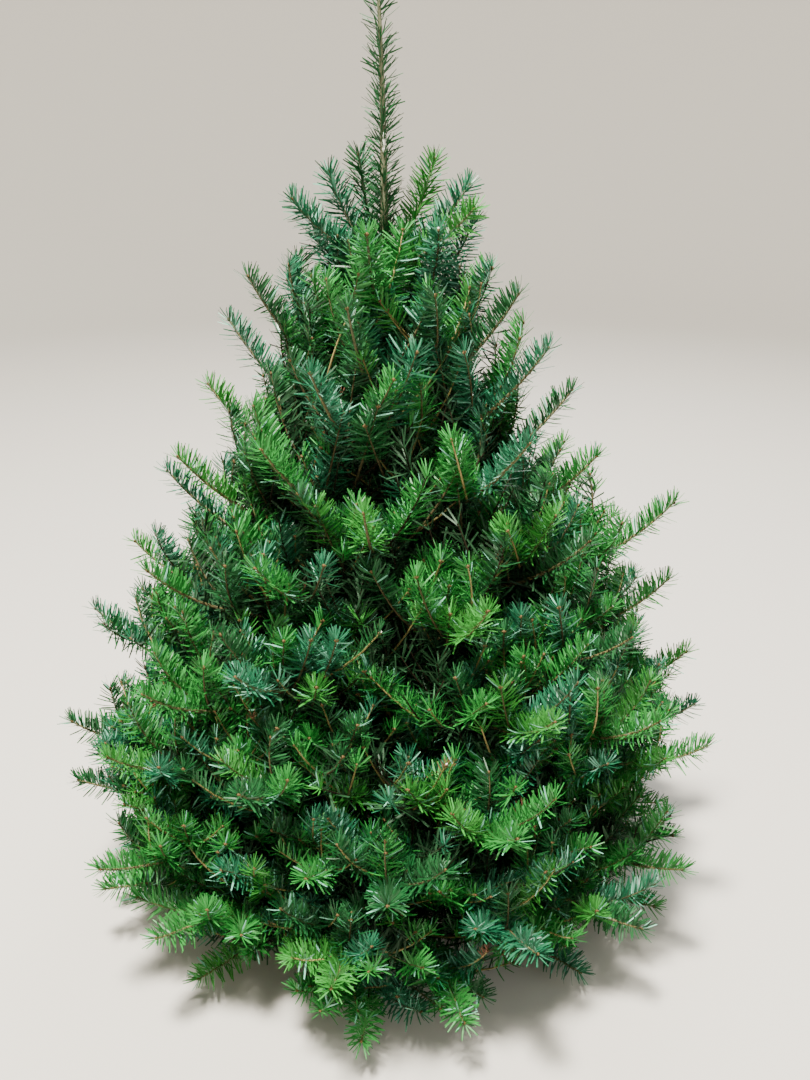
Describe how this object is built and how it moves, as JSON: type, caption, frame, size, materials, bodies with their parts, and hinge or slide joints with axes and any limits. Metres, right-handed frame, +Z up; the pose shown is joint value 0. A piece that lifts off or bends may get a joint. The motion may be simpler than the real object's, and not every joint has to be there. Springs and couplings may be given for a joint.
{
  "type": "fir tree",
  "caption": "Young plantation fir, rooted at a flat cut, with a leader above whorls of upswept boughs and flat sprays of needles.",
  "frame": {"origin": "middle of the flat cut under the trunk, at ground level", "axes": "+Z up the trunk to the leader's tip, +X to the right and +Y away as the tree is seen from its front"},
  "size_m": [1.2114, 1.2271, 1.67],
  "materials": {
    "bark": "matte",
    "foliage": "satin"
  },
  "bodies": {
    "root": {"bough_5_1": "bark", "bough_5_2": "bark", "bough_5_3": "bark", "bough_5_4": "bark", "bough_5_5": "bark", "bough_6_1": "bark", "bough_6_2": "bark", "bough_6_3": "bark", "bough_6_4": "bark", "bough_6_5": "bark", "bough_7_1": "bark", "bough_7_2": "bark", "bough_7_3": "bark", "bough_7_4": "bark", "bough_7_5": "bark", "foliage_1_1": "foliage", "foliage_1_2": "foliage", "foliage_1_3": "foliage", "foliage_1_4": "foliage", "foliage_1_5": "foliage", "foliage_1_6": "foliage", "foliage_1b_1": "foliage", "foliage_1b_2": "foliage", "foliage_1b_3": "foliage", "foliage_2_1": "foliage", "foliage_2_2": "foliage", "foliage_2_3": "foliage", "foliage_2_4": "foliage", "foliage_2_5": "foliage", "foliage_2b_1": "foliage", "foliage_2b_2": "foliage", "foliage_2b_3": "foliage", "foliage_2b_4": "foliage", "foliage_3_1": "foliage", "foliage_3_2": "foliage", "foliage_3_3": "foliage", "foliage_3_4": "foliage", "foliage_3_5": "foliage", "foliage_4_1": "foliage", "foliage_4_2": "foliage", "foliage_4_3": "foliage", "foliage_4_4": "foliage", "foliage_4_5": "foliage", "foliage_5_1": "foliage", "foliage_5_2": "foliage", "foliage_5_3": "foliage", "foliage_5_4": "foliage", "foliage_5_5": "foliage", "foliage_6_1": "foliage", "foliage_6_2": "foliage", "foliage_6_3": "foliage", "foliage_6_4": "foliage", "foliage_6_5": "foliage", "foliage_7_1": "foliage", "foliage_7_2": "foliage", "foliage_7_3": "foliage", "foliage_7_4": "foliage", "foliage_7_5": "foliage", "leader_needles": "foliage", "trunk": "bark"}
  },
  "joints": []
}
